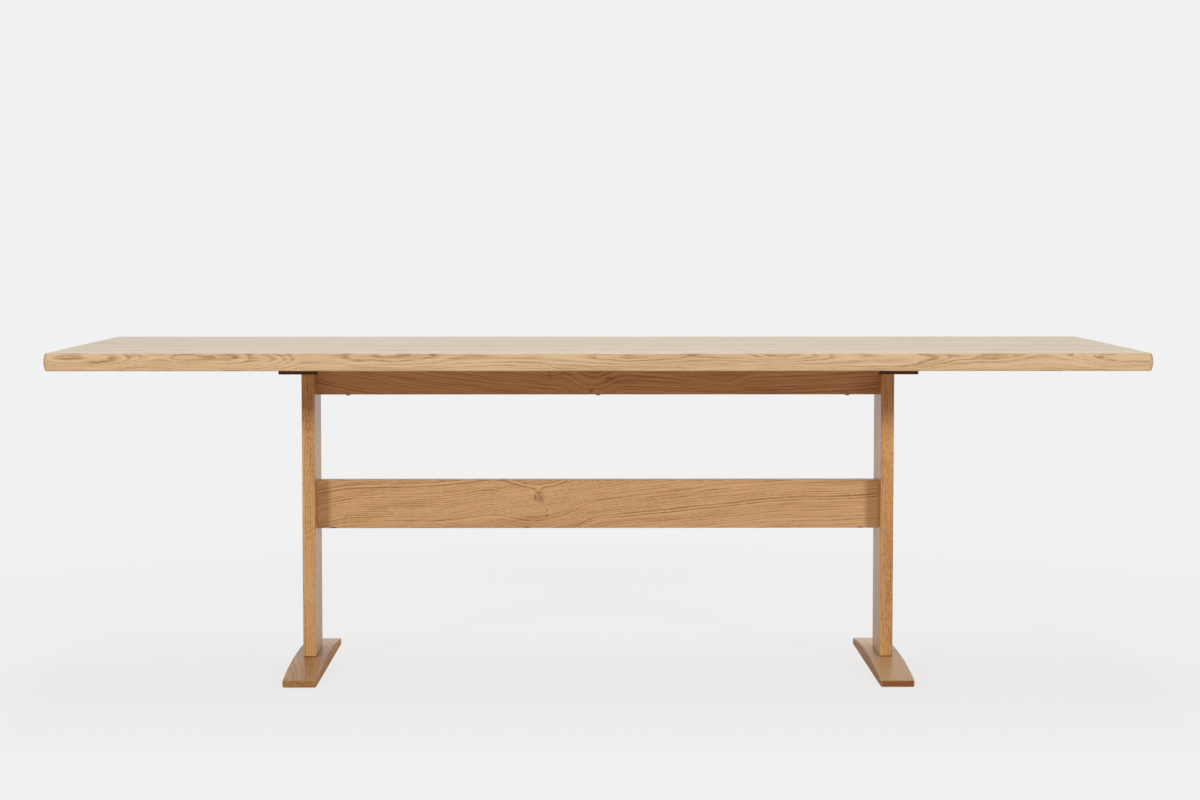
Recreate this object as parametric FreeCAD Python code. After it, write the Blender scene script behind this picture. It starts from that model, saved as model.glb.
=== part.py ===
"""Trestle dining table in solid oak, knocked down into two leg frames, two rails and a top.

Millimetres.  X runs along the table, Y from front to back, Z up from the floor.
The origin is on the floor under the middle of the top.
"""
import FreeCAD, Part
import math
import os

# ---- driving dimensions: the top
top_length = 2403.0          # over the swell of both ends
top_depth = 900.0
top_thickness = 39.0
table_height = 755.0
stave_count = 9
edge_bulge = 4.0            # how far the edge of the top swells out at half its thickness
edge_rounding = 4.0         # radius along the upper and lower arris of the top
corner_radius = 11.0        # plan radius at the four corners of the top

# ---- driving dimensions: legs, feet and bearers
leg_spacing = 1336.0        # centre to centre
leg_thickness = 30.0
leg_depth = 150.0
foot_length = 620.0
foot_width = 76.0
foot_crown_height = 32.0    # thickness of the arched foot at its middle, before the seat is planed
foot_end_height = 15.5
foot_corner_radius = 6.0
bearer_length = 565.0
bearer_width = 88.0
bearer_thickness = 16.0

# ---- driving dimensions: rails
rail_height = 77.0
rail_thickness = 40.0
stretcher_height = 112.0
stretcher_thickness = 40.0
stretcher_underside = 327.0  # above the floor
arris_rounding = 1.5         # softened long edges of the straight boards
arris_bevel = 2.0            # eased edges of the feet, above and round the sole
joint_bevel = 1.4            # bevel round the foot of the leg, which draws the joint as a fine line

# ---- joinery: twin stub tenons between leg and foot
tenon_thickness = 16.0
tenon_length = 20.0
tenon_end_shoulder = 10.0
tenon_gap = 40.0
mortise_clearance = 0.1
mortise_slack = 1.0          # glue space below the tenon

# ---- joinery: dowels
dowel_diameter = 8.0
dowel_in_leg = 18.0
dowel_in_rail = 22.0
dowel_chamfer = 1.0
dowel_clearance = 0.1
hole_slack = 1.0             # a dowel's and a bolt's hole is deeper than they are long

# ---- stretcher bolts and barrel nuts
bolt_diameter = 6.0
bolt_clearance = 0.3
thread_clearance = 0.05
stretcher_bolt_height = 37.0       # above the underside of the stretcher
stretcher_dowel_margin = 15.0      # from the stretcher's upper and lower edge
connector_head_diameter = 17.0
connector_head_height = 2.0
connector_tip = 3.0                # how far the bolt runs on past the barrel nut
barrel_nut_diameter = 10.0
barrel_nut_length = 14.0
barrel_nut_distance = 35.0         # from the leg
barrel_nut_clearance = 0.15

# ---- bolts and inserts that hold the top
button_head_diameter = 10.5
button_crown_diameter = 7.0        # the flat middle of the head, round the socket
button_head_height = 3.0
button_flange_diameter = 13.5
button_flange_height = 1.0
insert_diameter = 10.0
insert_length = 13.0
insert_clearance = 0.1
insert_slack = 2.0
rail_bolt_offset = 582.0           # of the two outer bolts from the middle of the rail
bearer_bolt_leg_distance = 25.0    # inner bolts, from the face of the leg
bearer_bolt_end_distance = 82.5    # outer bolts, from the end of the bearer
slot_travel = 6.0                  # play for the seasonal movement of the top
counterbore_depth = 7.0
counterbore_clearance = 1.2

# ---- wood screws
wood_screw_diameter = 5.0
wood_screw_head_diameter = 9.5
wood_screw_length = 60.0
rail_screw_length = 35.0
leg_screw_offset = 50.0            # of the outer leg screws from the middle of the leg
screw_clearance = 0.1
socket_size = 4.0                  # across the flats of the hexagon sockets
socket_depth = 1.6

# ---- glides under the feet
glide_diameter = 28.0
glide_thickness = 5.0
glide_standout = 2.0
glide_clearance = 0.3
glide_end_distance = 40.0          # from the end of the foot to the middle of the glide
glide_screw_diameter = 3.5
glide_screw_head_diameter = 7.0
glide_screw_length = 12.0
glide_screw_depth = 1.0            # the head lies this deep in the glide

# ---- how finely the hardware and its holes are drawn: round pieces get this many flats
hardware_side_count = 8
visible_side_count = 16                 # where a round outline shows on a finished table
tolerance = 1e-6                        # shorter lengths count as nothing

# ---- what follows from them
along_x = FreeCAD.Vector(1, 0, 0)
along_y = FreeCAD.Vector(0, 1, 0)
along_z = FreeCAD.Vector(0, 0, 1)
top_underside = table_height - top_thickness
bearer_underside = top_underside - bearer_thickness
leg_inner_face = (leg_spacing - leg_thickness) / 2
rail_underside = top_underside - rail_height
foot_crown_rise = foot_crown_height - foot_end_height
foot_arc_radius = ((foot_length / 2) ** 2 + foot_crown_rise ** 2) / (2 * foot_crown_rise)
bearer_bolt_rows = (
    leg_depth / 2 + bearer_bolt_leg_distance,
    bearer_length / 2 - bearer_bolt_end_distance,
)
tenon_width = leg_depth / 2 - tenon_end_shoulder - tenon_gap / 2
tenon_offset = (tenon_width + tenon_gap) / 2
connector_height = stretcher_underside + stretcher_bolt_height
connector_length = leg_thickness + barrel_nut_distance + barrel_nut_diameter / 2 + connector_tip
connector_hole_length = connector_length + hole_slack


def vector(x, y, z):
    return FreeCAD.Vector(x, y, z)


def board(x_size, y_size, z_size, centre_x, centre_y, bottom):
    """A square-edged board, centred in plan and standing on height bottom."""
    corner = vector(centre_x - x_size / 2, centre_y - y_size / 2, bottom)
    return Part.makeBox(x_size, y_size, z_size, corner)


def edges_along(shape, direction):
    """The straight edges of a shape that run along one direction."""
    found = []
    for edge in shape.Edges:
        run = edge.Vertexes[-1].Point - edge.Vertexes[0].Point
        if run.Length > 0 and abs(abs(run.normalize().dot(direction)) - 1) < tolerance:
            found.append(edge)
    return found


def softened(shape, direction):
    """The board with its long edges rounded as by a pass of a sanding block."""
    return shape.makeFillet(arris_rounding, edges_along(shape, direction))


def turned(profile, place, direction, flats=hardware_side_count):
    """A turned piece from (radius, height) pairs, drawn with flats, stood at place along direction."""
    turns = [2 * math.pi * step / flats for step in range(flats)]
    rings = [[vector(radius * math.cos(turn), radius * math.sin(turn), height) for turn in turns]
             for radius, height in profile]
    faces = []
    for lower, upper in zip(rings, rings[1:]):
        for step in range(flats):
            following = (step + 1) % flats
            corners = [lower[step], lower[following], upper[following], upper[step]]
            corners = [corner for spot, corner in enumerate(corners)
                       if not corner.isEqual(corners[spot - 1], tolerance)]
            faces.append(Part.Face(Part.makePolygon(corners + corners[:1])))
    piece = Part.Solid(Part.Shell(faces)).removeSplitter()
    if piece.Volume < 0:
        piece.reverse()
    piece.Placement = FreeCAD.Placement(place, FreeCAD.Rotation(along_z, direction))
    return piece


def rod(diameter, start, direction, length, flats=hardware_side_count):
    radius = diameter / 2
    return turned([(0, 0), (radius, 0), (radius, length), (0, length)], start, direction, flats)


def slot(width, length, height, centre, gap=0.0):
    """An upright slot shape, round at both ends, with its length along Y."""
    radius = width / 2 + gap
    straight = (length - width) / 2
    half_turn = hardware_side_count // 2
    points = []
    for side in (1, -1):
        for step in range(half_turn + 1):
            turn = math.pi * step / half_turn
            x = centre.x + side * radius * math.cos(turn)
            y = centre.y + side * (straight + radius * math.sin(turn))
            points.append(vector(x, y, centre.z))
    return Part.Face(Part.makePolygon(points + points[:1])).extrude(along_z * height)


def hexagon_socket(place, direction, depth):
    """The key socket of a bolt head, sunk from place along direction."""
    corner_reach = socket_size / math.sqrt(3)
    turns = [math.radians(60 * step) for step in range(7)]
    points = [vector(corner_reach * math.cos(turn), corner_reach * math.sin(turn), 0) for turn in turns]
    socket = Part.Face(Part.makePolygon(points)).extrude(along_z * depth)
    socket.Placement = FreeCAD.Placement(place, FreeCAD.Rotation(along_z, direction))
    return socket


# ---- fasteners, each with the hole that takes it

def wood_screw(diameter, head_diameter, length, place, direction, gap=0.0):
    """A countersunk wood screw from its head at place; with a gap it is the hole for that screw."""
    radius = diameter / 2 + gap
    head_radius = head_diameter / 2 + gap
    sink = (head_diameter - diameter) / 2
    tip = diameter + gap
    profile = [
        (0, 0),
        (head_radius, 0),
        (radius, sink),
        (radius, length - tip),
        (0, length + gap),
    ]
    return turned(profile, place, direction)


def dowel(place, direction):
    """A dowel across a joint at place, pointing into the rail."""
    radius = dowel_diameter / 2
    profile = [
        (0, -dowel_in_leg),
        (radius - dowel_chamfer, -dowel_in_leg),
        (radius, -dowel_in_leg + dowel_chamfer),
        (radius, dowel_in_rail - dowel_chamfer),
        (radius - dowel_chamfer, dowel_in_rail),
        (0, dowel_in_rail),
    ]
    return turned(profile, place, direction)


def dowel_hole(place, direction):
    """The pair of holes for a dowel, one in the leg and one in the rail."""
    start = place - direction * (dowel_in_leg + hole_slack)
    length = dowel_in_leg + dowel_in_rail + 2 * hole_slack
    return rod(dowel_diameter + 2 * dowel_clearance, start, direction, length)


def button_bolt(place, direction, grip):
    """A flanged button-head bolt: grip is the thickness that it clamps, the rest is in the insert."""
    reach = grip + insert_length
    profile = [
        (0, -button_head_height),
        (button_crown_diameter / 2, -button_head_height),
        (button_head_diameter / 2, -button_flange_height),
        (button_flange_diameter / 2, -button_flange_height),
        (button_flange_diameter / 2, 0),
        (bolt_diameter / 2, 0),
        (bolt_diameter / 2, reach),
        (0, reach),
    ]
    bolt = turned(profile, place, direction)
    return bolt.cut(hexagon_socket(place - direction * button_head_height, direction, socket_depth))


def connector_place(side):
    """On the outer face of the leg, where the head of the connector bolt lies."""
    return vector(side * (leg_inner_face + leg_thickness), 0, connector_height)


def connector_bolt(side):
    """The flat-headed bolt through one leg into the stretcher, its head flush with the leg."""
    inwards = along_x * -side
    profile = [
        (0, 0),
        (connector_head_diameter / 2, 0),
        (connector_head_diameter / 2, connector_head_height),
        (bolt_diameter / 2, connector_head_height),
        (bolt_diameter / 2, connector_length),
        (0, connector_length),
    ]
    bolt = turned(profile, connector_place(side), inwards, visible_side_count)
    return bolt.cut(hexagon_socket(connector_place(side), inwards, socket_depth))


def connector_hole(side):
    """The stepped hole for the connector bolt, through the leg and on into the stretcher."""
    head_radius = connector_head_diameter / 2 + bolt_clearance
    shank_radius = bolt_diameter / 2 + bolt_clearance
    profile = [
        (0, 0),
        (head_radius, 0),
        (head_radius, connector_head_height),
        (shank_radius, connector_head_height),
        (shank_radius, connector_hole_length),
        (0, connector_hole_length),
    ]
    return turned(profile, connector_place(side), along_x * -side, visible_side_count)


def barrel_nut(side):
    """The cross nut in the stretcher, threaded on the connector bolt."""
    axis = side * (leg_inner_face - barrel_nut_distance)
    start = vector(axis, 0, connector_height - barrel_nut_length / 2)
    nut = rod(barrel_nut_diameter, start, along_z, barrel_nut_length, visible_side_count)
    through = vector(axis - barrel_nut_diameter, 0, connector_height)
    thread = rod(bolt_diameter + 2 * thread_clearance, through, along_x,
                 2 * barrel_nut_diameter, visible_side_count)
    return nut.cut(thread)


def barrel_nut_bore(side):
    """The bore that lets the barrel nut in from the lower edge of the stretcher."""
    start = vector(side * (leg_inner_face - barrel_nut_distance), 0, stretcher_underside)
    depth = stretcher_bolt_height + barrel_nut_length / 2 + barrel_nut_clearance
    return rod(barrel_nut_diameter + 2 * barrel_nut_clearance, start, along_z, depth, visible_side_count)


def insert(place):
    """A threaded insert in the underside of the top, its bolt coming from below."""
    sleeve = rod(insert_diameter, place, along_z, insert_length)
    return sleeve.cut(rod(bolt_diameter + 2 * thread_clearance, place, along_z, insert_length))


def insert_hole(place):
    return rod(insert_diameter + 2 * insert_clearance, place, along_z, insert_length + insert_slack)


# ---- where the fasteners go

def rail_bolt_places(height):
    return [vector(x, 0, height) for x in (-rail_bolt_offset, 0, rail_bolt_offset)]


def bearer_bolt_places(side, height):
    rows = [sign * row for row in bearer_bolt_rows for sign in (-1, 1)]
    return [vector(side * leg_spacing / 2, y, height) for y in sorted(rows)]


def stretcher_dowel_places(side):
    low = stretcher_underside + stretcher_dowel_margin
    high = stretcher_underside + stretcher_height - stretcher_dowel_margin
    return [vector(side * leg_inner_face, 0, height) for height in (low, high)]


def rail_dowel_places(side):
    middle = (rail_underside + bearer_underside) / 2
    return [vector(side * leg_inner_face, y, middle) for y in (-rail_thickness / 4, rail_thickness / 4)]


def dowel_group(places, side):
    return [dowel(place, along_x * -side) for place in places]


def dowel_holes(places, side):
    return [dowel_hole(place, along_x * -side) for place in places]


def bearer_screw_group(side, gap=0.0):
    """Three screws down into the leg and one down into the notched end of the upper rail."""
    down = along_z * -1
    screws = []
    for y in (-leg_screw_offset, 0, leg_screw_offset):
        place = vector(side * leg_spacing / 2, y, top_underside)
        screws.append(wood_screw(wood_screw_diameter, wood_screw_head_diameter, wood_screw_length,
                                 place, down, gap))
    lap = (bearer_width - leg_thickness) / 2
    place = vector(side * (leg_inner_face - lap / 2), 0, top_underside)
    screws.append(wood_screw(wood_screw_diameter, wood_screw_head_diameter, rail_screw_length,
                             place, down, gap))
    return screws


def foot_screw_group(side, gap=0.0):
    """Two screws up through the sole of the foot, one into each tenon."""
    places = [vector(side * leg_spacing / 2, y, glide_standout) for y in (-tenon_offset, tenon_offset)]
    return [wood_screw(wood_screw_diameter, wood_screw_head_diameter, wood_screw_length,
                       place, along_z, gap) for place in places]


def glide_places(side, height):
    offset = foot_length / 2 - glide_end_distance
    return [vector(side * leg_spacing / 2, y, height) for y in (-offset, offset)]


def glide_screw_group(side, gap=0.0):
    return [wood_screw(glide_screw_diameter, glide_screw_head_diameter, glide_screw_length,
                       place, along_z, gap) for place in glide_places(side, glide_screw_depth)]


# ---- the top

def rounded_plan(inset):
    """The closed outline of the top, moved in by inset, at the height of the underside."""
    half_x = top_length / 2 - inset
    half_y = top_depth / 2 - inset
    radius = corner_radius - inset
    bend = radius * (1 - math.sqrt(0.5))
    edges = []
    for x_side, y_side in ((1, 1), (-1, 1), (-1, -1), (1, -1)):
        along = vector(x_side * (half_x - radius), y_side * half_y, top_underside)
        middle = vector(x_side * (half_x - bend), y_side * (half_y - bend), top_underside)
        across = vector(x_side * half_x, y_side * (half_y - radius), top_underside)
        corner = (across, middle, along) if x_side * y_side > 0 else (along, middle, across)
        edges.append(Part.Arc(*corner).toShape())
    links = []
    for step, edge in enumerate(edges):
        following = edges[(step + 1) % len(edges)]
        links.append(Part.makeLine(edge.Vertexes[-1].Point, following.Vertexes[0].Point))
    loop = [edge for pair in zip(edges, links) for edge in pair]
    return Part.Wire(loop)


def edge_section():
    """The barrel-shaped section of the edge, drawn at the middle of the front edge."""
    front = -top_depth / 2
    rim = corner_radius / 2
    shoulder = front + edge_bulge
    low_inside = vector(0, front + rim, top_underside)
    low_outside = vector(0, shoulder, top_underside)
    bulge = vector(0, front, top_underside + top_thickness / 2)
    high_outside = vector(0, shoulder, table_height)
    high_inside = vector(0, front + rim, table_height)
    return Part.Wire([
        Part.makeLine(low_inside, low_outside),
        Part.Arc(low_outside, bulge, high_outside).toShape(),
        Part.makeLine(high_outside, high_inside),
        Part.makeLine(high_inside, low_inside),
    ])


def top_panel():
    """The whole top before it is thought of as staves: a slab with a barrel-shaped, softened edge."""
    core = Part.Face(rounded_plan(corner_radius / 2)).extrude(along_z * top_thickness)
    rim = rounded_plan(0).makePipeShell([edge_section()], True, False)
    panel = core.fuse(rim).removeSplitter()
    arrises = [
        edge for edge in panel.Edges
        if abs(edge.BoundBox.ZLength) < tolerance
        and (abs(edge.BoundBox.ZMax - table_height) < tolerance or abs(edge.BoundBox.ZMin - top_underside) < tolerance)
    ]
    panel = panel.makeFillet(edge_rounding, arrises)
    for side in (-1, 1):
        for place in bearer_bolt_places(side, top_underside):
            panel = panel.cut(insert_hole(place))
    for place in rail_bolt_places(top_underside):
        panel = panel.cut(insert_hole(place))
    return panel


def top_staves():
    """The panel divided along its glue lines, from the front edge to the back edge."""
    panel = top_panel()
    width = top_depth / stave_count
    staves = []
    for number in range(stave_count):
        middle = -top_depth / 2 + (number + 0.5) * width
        strip = board(top_length, width, top_thickness, 0, middle, top_underside)
        staves.append(panel.common(strip))
    return staves


# ---- the leg frames

def bearer(side):
    """The flat board across the underside of the top, over one leg."""
    centre_x = side * leg_spacing / 2
    shape = board(bearer_width, bearer_length, bearer_thickness, centre_x, 0, bearer_underside)
    lower_edges = [edge for edge in edges_along(shape, along_y) if edge.BoundBox.ZMax < top_underside - 1]
    shape = shape.makeFillet(arris_rounding, lower_edges)
    slot_width = bolt_diameter + 2 * bolt_clearance
    counterbore_width = button_flange_diameter + counterbore_clearance
    for place in bearer_bolt_places(side, bearer_underside):
        through = slot(slot_width, slot_width + slot_travel, bearer_thickness, place)
        counterbore = slot(counterbore_width, counterbore_width + slot_travel, counterbore_depth, place)
        shape = shape.cut(through.fuse(counterbore))
    for hole in bearer_screw_group(side, screw_clearance):
        shape = shape.cut(hole)
    return shape


def foot_arch_height(y):
    """Height of the arched upper face above the sole at a distance y from the middle."""
    return foot_crown_height - foot_arc_radius + math.sqrt(foot_arc_radius ** 2 - y ** 2)


def foot_seat_height():
    return foot_arch_height(leg_depth / 2)


def leg(side):
    """The upright plank with twin stub tenons at its lower end."""
    centre_x = side * leg_spacing / 2
    bottom = glide_standout + foot_seat_height()
    plank = board(leg_thickness, leg_depth, bearer_underside - bottom, centre_x, 0, bottom)
    plank = softened(plank, along_z)
    lower_end = [edge for edge in plank.Edges if edge.BoundBox.ZMax < bottom + joint_bevel / 2]
    plank = plank.makeChamfer(joint_bevel, lower_end)
    for y in (-tenon_offset, tenon_offset):
        root = vector(centre_x, y, bottom - tenon_length)
        plank = plank.fuse(slot(tenon_thickness, tenon_width, tenon_length, root))
    plank = plank.removeSplitter()
    for hole in bearer_screw_group(side, screw_clearance) + foot_screw_group(side, screw_clearance):
        plank = plank.cut(hole)
    for hole in dowel_holes(stretcher_dowel_places(side) + rail_dowel_places(side), side):
        plank = plank.cut(hole)
    return plank.cut(connector_hole(side))


def foot(side):
    """The floor runner: flat sole, arched upper face, a flat seat and two mortises for the leg."""
    centre_x = side * leg_spacing / 2
    end = foot_length / 2
    seat = leg_depth / 2
    between = (end + seat) / 2
    left = centre_x - foot_width / 2

    def point(y, height):
        return vector(left, y, glide_standout + height)

    outline = Part.Wire([
        Part.makeLine(point(-end, 0), point(end, 0)),
        Part.makeLine(point(end, 0), point(end, foot_end_height)),
        Part.Arc(point(end, foot_end_height), point(between, foot_arch_height(between)),
                 point(seat, foot_seat_height())).toShape(),
        Part.makeLine(point(seat, foot_seat_height()), point(-seat, foot_seat_height())),
        Part.Arc(point(-seat, foot_seat_height()), point(-between, foot_arch_height(between)),
                 point(-end, foot_end_height)).toShape(),
        Part.makeLine(point(-end, foot_end_height), point(-end, 0)),
    ])
    shape = Part.Face(outline).extrude(along_x * foot_width)
    shape = shape.makeFillet(foot_corner_radius, edges_along(shape, along_z))
    upper = [
        edge for edge in shape.Edges
        if edge.BoundBox.ZMin > glide_standout + foot_end_height / 2
        and (edge.BoundBox.YLength > tolerance or abs(edge.CenterOfMass.y) > seat + tolerance)
    ]
    shape = shape.makeChamfer(arris_bevel, upper)
    sole = [edge for edge in shape.Edges if edge.BoundBox.ZMax < glide_standout + tolerance]
    shape = shape.makeChamfer(arris_bevel, sole)
    depth = tenon_length + mortise_slack
    for y in (-tenon_offset, tenon_offset):
        floor = vector(centre_x, y, glide_standout + foot_seat_height() - depth)
        shape = shape.cut(slot(tenon_thickness, tenon_width, depth, floor, mortise_clearance))
    for hole in foot_screw_group(side, screw_clearance) + glide_screw_group(side, screw_clearance):
        shape = shape.cut(hole)
    for place in glide_places(side, 0):
        recess = rod(glide_diameter + 2 * glide_clearance, place, along_z, glide_thickness, visible_side_count)
        shape = shape.cut(recess)
    return shape


def glide(place):
    """A nylon disc let into the sole of the foot, with a bevelled running edge and a sunk screw hole."""
    radius = glide_diameter / 2
    bevel = glide_standout / 2
    profile = [
        (0, 0),
        (radius - bevel, 0),
        (radius, bevel),
        (radius, glide_thickness),
        (0, glide_thickness),
    ]
    disc = turned(profile, place, along_z, visible_side_count)
    mouth = rod(glide_screw_head_diameter + 2 * screw_clearance, place, along_z, glide_screw_depth)
    return disc.cut(mouth)


def glides(side):
    discs = [glide(place) for place in glide_places(side, 0)]
    holes = glide_screw_group(side, screw_clearance)
    return [disc.cut(hole) for disc, hole in zip(discs, holes)]


# ---- the rails

def rail_board(thickness, height, bottom):
    """A board from leg to leg with softened long edges."""
    return softened(board(2 * leg_inner_face, thickness, height, 0, 0, bottom), along_x)


def upper_rail():
    """The deep rail under the top, notched at both ends over the bearers."""
    shape = rail_board(rail_thickness, rail_height, rail_underside)
    for side in (-1, 1):
        notch = board(bearer_width, rail_thickness, bearer_thickness,
                      side * leg_spacing / 2, 0, bearer_underside)
        shape = shape.cut(notch)
        holes = dowel_holes(rail_dowel_places(side), side)
        for hole in holes + bearer_screw_group(side, screw_clearance):
            shape = shape.cut(hole)
    for place in rail_bolt_places(rail_underside):
        shape = shape.cut(rod(bolt_diameter + 2 * bolt_clearance, place, along_z, rail_height))
    return shape


def stretcher():
    """The wide board at mid-height, bored at both ends for dowels, connector bolt and barrel nut."""
    shape = rail_board(stretcher_thickness, stretcher_height, stretcher_underside)
    for side in (-1, 1):
        for hole in dowel_holes(stretcher_dowel_places(side), side):
            shape = shape.cut(hole)
        shape = shape.cut(connector_hole(side)).cut(barrel_nut_bore(side))
    return shape


# ---- everything together, by the names of the nodes

def all_nodes():
    nodes = {}
    for number, stave in enumerate(top_staves(), start=1):
        nodes[f"top_stave_{number}"] = [stave]
    nodes["upper_rail"] = [upper_rail()]
    nodes["stretcher"] = [stretcher()]
    web = bearer_thickness - counterbore_depth
    for name, side in (("left", -1), ("right", 1)):
        nodes[f"{name}_bearer"] = [bearer(side)]
        nodes[f"{name}_leg"] = [leg(side)]
        nodes[f"{name}_foot"] = [foot(side)]
        nodes[f"{name}_bearer_screws"] = bearer_screw_group(side)
        nodes[f"{name}_foot_screws"] = foot_screw_group(side)
        nodes[f"{name}_stretcher_bolt"] = [connector_bolt(side)]
        nodes[f"{name}_barrel_nut"] = [barrel_nut(side)]
        heads = bearer_bolt_places(side, bearer_underside + counterbore_depth)
        nodes[f"{name}_bearer_bolts"] = [button_bolt(place, along_z, web) for place in heads]
    sides = (-1, 1)
    nodes["rail_bolts"] = [button_bolt(place, along_z, rail_height)
                           for place in rail_bolt_places(rail_underside)]
    nodes["rail_inserts"] = [insert(place) for place in rail_bolt_places(top_underside)]
    nodes["bearer_inserts"] = [insert(place) for side in sides
                               for place in bearer_bolt_places(side, top_underside)]
    nodes["stretcher_dowels"] = [piece for side in sides
                                 for piece in dowel_group(stretcher_dowel_places(side), side)]
    nodes["rail_dowels"] = [piece for side in sides
                            for piece in dowel_group(rail_dowel_places(side), side)]
    nodes["glide_screws"] = [piece for side in sides for piece in glide_screw_group(side)]
    nodes["foot_glides"] = [disc for side in sides for disc in glides(side)]
    return nodes


os.makedirs("parts", exist_ok=True)
for node_name, solids in all_nodes().items():
    node_shape = solids[0] if len(solids) == 1 else Part.makeCompound(solids)
    node_shape.exportStep(f"parts/{node_name}.step")
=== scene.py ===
import math
import bpy
import numpy as np
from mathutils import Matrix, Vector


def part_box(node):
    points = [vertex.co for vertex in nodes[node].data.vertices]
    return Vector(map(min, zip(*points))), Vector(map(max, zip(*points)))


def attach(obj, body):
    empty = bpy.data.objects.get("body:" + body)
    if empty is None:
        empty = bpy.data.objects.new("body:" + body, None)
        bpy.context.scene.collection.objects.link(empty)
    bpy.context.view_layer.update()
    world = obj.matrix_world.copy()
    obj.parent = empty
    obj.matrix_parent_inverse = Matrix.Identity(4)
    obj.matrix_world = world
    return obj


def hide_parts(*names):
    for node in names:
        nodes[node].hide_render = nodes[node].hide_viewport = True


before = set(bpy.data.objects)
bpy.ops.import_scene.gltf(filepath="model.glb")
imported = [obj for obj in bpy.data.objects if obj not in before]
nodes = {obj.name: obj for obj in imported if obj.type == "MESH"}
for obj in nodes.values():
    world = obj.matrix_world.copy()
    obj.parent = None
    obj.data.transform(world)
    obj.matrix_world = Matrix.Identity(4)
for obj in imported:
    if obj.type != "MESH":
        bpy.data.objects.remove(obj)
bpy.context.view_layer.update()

scene = bpy.context.scene
print("stage 1: frame loaded,", len(nodes), "nodes")


def linear(hexColour):
    # sRGB hex to linear: below the knee a straight line, above it a power of 2.4
    parts = [int(hexColour[i:i + 2], 16) / 255 for i in (1, 3, 5)]
    return tuple(c / 12.92 if c <= 0.04045 else ((c + 0.055) / 1.055) ** 2.4 for c in parts) + (1.0,)


def addNode(tree, kind, inputs=None, stops=None, **settings):
    # One node with its settings; an input is given a value, or the socket that feeds it. Sockets go by
    # name, or by number where that is shorter: a Map Range takes its value in 0, the range it comes from in
    # 1 and 2, the range it goes to in 3 and 4. A Mix takes its share in 0 and its numbers in 2 and 3; with
    # data_type RGBA it takes its colours in 6 and 7, and gives the mixed one in 2.
    node = tree.nodes.new("ShaderNode" + kind)
    for name, value in settings.items():
        setattr(node, name, value)
    if stops:
        band = node.color_ramp.elements
        while len(band) < len(stops):
            band.new(0.5)
        for element, (place, colour) in zip(band, stops):
            element.position = place
            element.color = colour if isinstance(colour, tuple) else (colour, colour, colour, 1.0)
    for key, value in (inputs or {}).items():
        if isinstance(value, bpy.types.NodeSocket):
            tree.links.new(value, node.inputs[key])
        else:
            node.inputs[key].default_value = value
    return node.outputs


def newMaterial(name):
    # an empty node material, and its tree
    material = bpy.data.materials.new(name)
    material.use_nodes = True
    material.node_tree.nodes.clear()
    return material, material.node_tree


def dress(nodeName, material):
    # the CAD node keeps its mesh and gets the material in every slot
    for slot in nodes[nodeName].material_slots:
        slot.material = material


def cornersOf(nodeName):
    # a CAD node's lowest and highest corner in millimetres, without the noise of the mesh's last digits
    return [[round(1000 * value, 2) for value in corner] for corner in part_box(nodeName)]


# European oak in five shades; each has the colours of latewood, of what lies between, of earlywood lines
woods = {
    "top": ("#D9C19A", "#C7A97E", "#987349"),
    "edge": ("#E3CAA3", "#D1B187", "#A1794E"),      # the front stave is a little warmer
    "frame": ("#D6AB79", "#BF9162", "#8E6037"),     # the frame's boards are a redder oak than the top's
    "pale": ("#E6C391", "#D2AA78", "#A47848"),      # a lighter board in the frame
    "golden": ("#E2BA89", "#CFA372", "#9A6F44"),    # between the two
}

# what all oak boards share, unless a board says otherwise; lengths in millimetres
oak = {
    "pore": "#70492B",
    "ray": "#E2C59B",
    # the colour of all dark marks: knots, specks, and the painted shade lines under the top and at the foot
    "knot": "#5C3315",
    "ends": "#DCD0C8",           # end grain drinks more oil; its colour is multiplied by this
    "ground": 0.12,              # tone between the rings, 0 the palest wood and 1 the darkest
    "tone": 0.0,                 # how much darker this board is
    "ringWidth": 3.8,            # real oak has 2 to 3 mm, drawn coarser so that it shows
    "ringContrast": 0.85,
    "contrast": 1.0,             # this board's share of the ring contrast
    "band": 0.3,                 # how much of a year the earlywood takes
    "paleness": 0.3,             # of the latewood's band
    "fray": 0.45,                # how far the fibres break up a ring's line
    "unevenYears": 3.0,          # how many years the rings run ahead or behind
    "unevenRate": 0.23,          # how often they change between the two, per year
    "waveSize": (260.0, 160.0),  # length and width of the trunk's slow waves
    "rippleSize": (70.0, 22.0),  # and of the grain's small ripples
    "ripple": 3.4,
    "fibreSize": (85, 2.6),      # streaks of fibre; real ones are finer, drawn coarser so that they show
    "driftSize": (420, 38),      # the slow drift of tone within a board
    "drift": 1.1,
    "speckleSize": (7, 2.4),
    "speckle": 0.3,
    "poreSize": (9, 0.6),        # open vessels; real ones are 0.3 mm wide, drawn coarser likewise
    "pores": 0.55,
    "raySize": (12, 9),          # along the trunk and outwards from the pith
    "rayRadius": 90.0,           # at this distance from the pith a ray is 1 mm thick
    "rays": 0.3,
    "knots": (),
    "marks": (),
    "seedSteps": (977.0, 3.1, 1.7),   # how far a seed shifts the grain, the rings' widths, their strengths
    "roughness": 0.38,
    "endRoughness": 0.6,
    "poreRoughness": 0.2,        # what an open pore adds
    "relief": 0.0002,            # metres, the depth of the pores
    "ior": 1.5,
    "specular": 0.5,
    "film": 0.2,                 # how much of the wood the oil's thin hard film covers
    "filmRoughness": 0.25,
}

turnTo = {"X": (0, 0, 0), "Y": (0, 0, 90), "Z": (0, -90, 0)}   # turns the trunk's length to this axis


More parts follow.
